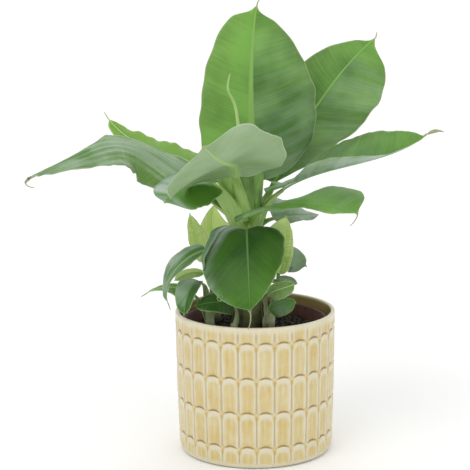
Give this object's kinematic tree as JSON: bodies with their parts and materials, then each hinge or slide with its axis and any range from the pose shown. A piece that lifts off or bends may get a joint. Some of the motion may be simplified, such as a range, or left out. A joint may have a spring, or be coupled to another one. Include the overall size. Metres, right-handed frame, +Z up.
{
  "type": "potted dwarf banana plant",
  "caption": "Young dwarf banana plant with side shoots in a round glazed ceramic pot with a relief of arched tongues, standing on the pot's flat underside.",
  "frame": {"origin": "centre of the pot's flat underside", "axes": "+Z up through the pot, -Y towards the viewer of the picture, +X to the viewer's right"},
  "size_m": [0.3543, 0.2382, 0.3947],
  "materials": {
    "glaze": "cream and honey glaze, glossy",
    "nursery_plastic": "thin red-brown plastic, satin",
    "soil": "dark peat compost, matt",
    "sheath": "yellow-green leaf sheaths, satin",
    "leaf_bright": "bright green leaf, satin",
    "leaf_dark": "dark green leaf, satin",
    "leaf_pale": "pale grey-green leaf underside, matt",
    "leaf_lime": "young lime-green leaf, satin",
    "leaf_blue": "leaf with a grey-blue bloom, satin"
  },
  "bodies": {
    "root": {"compost": "soil", "leaf_back_hanging": "leaf_dark", "leaf_front_arching": "leaf_pale", "leaf_front_hanging": "leaf_dark", "leaf_left_back": "leaf_lime", "leaf_left_front": "leaf_dark", "leaf_left_long": "leaf_blue", "leaf_right_front": "leaf_bright", "leaf_right_long": "leaf_bright", "leaf_right_low": "leaf_blue", "leaf_rolled": "leaf_lime", "leaf_tall": "leaf_bright", "leaf_tall_right": "leaf_bright", "pot_ceramic": "glaze", "pot_nursery": "nursery_plastic", "pup_back_leaf_left": "leaf_dark", "pup_back_leaf_right": "leaf_dark", "pup_back_left_leaf_inner": "leaf_lime", "pup_back_left_leaf_outer": "leaf_lime", "pup_front_leaf": "leaf_dark", "pup_left_leaf_arching": "leaf_blue", "pup_left_leaf_hanging": "leaf_dark", "pup_left_leaf_narrow": "leaf_bright", "pup_left_leaf_outer": "leaf_bright", "pup_right_leaf_back": "leaf_blue", "pup_right_leaf_folded": "leaf_bright", "pup_right_leaf_low": "leaf_dark", "pup_right_leaf_small": "leaf_blue", "pup_right_leaf_upright": "leaf_lime", "stem_main": "sheath", "stem_pup_back": "sheath", "stem_pup_back_left": "sheath", "stem_pup_front": "sheath", "stem_pup_left": "sheath", "stem_pup_right": "sheath"}
  },
  "joints": []
}
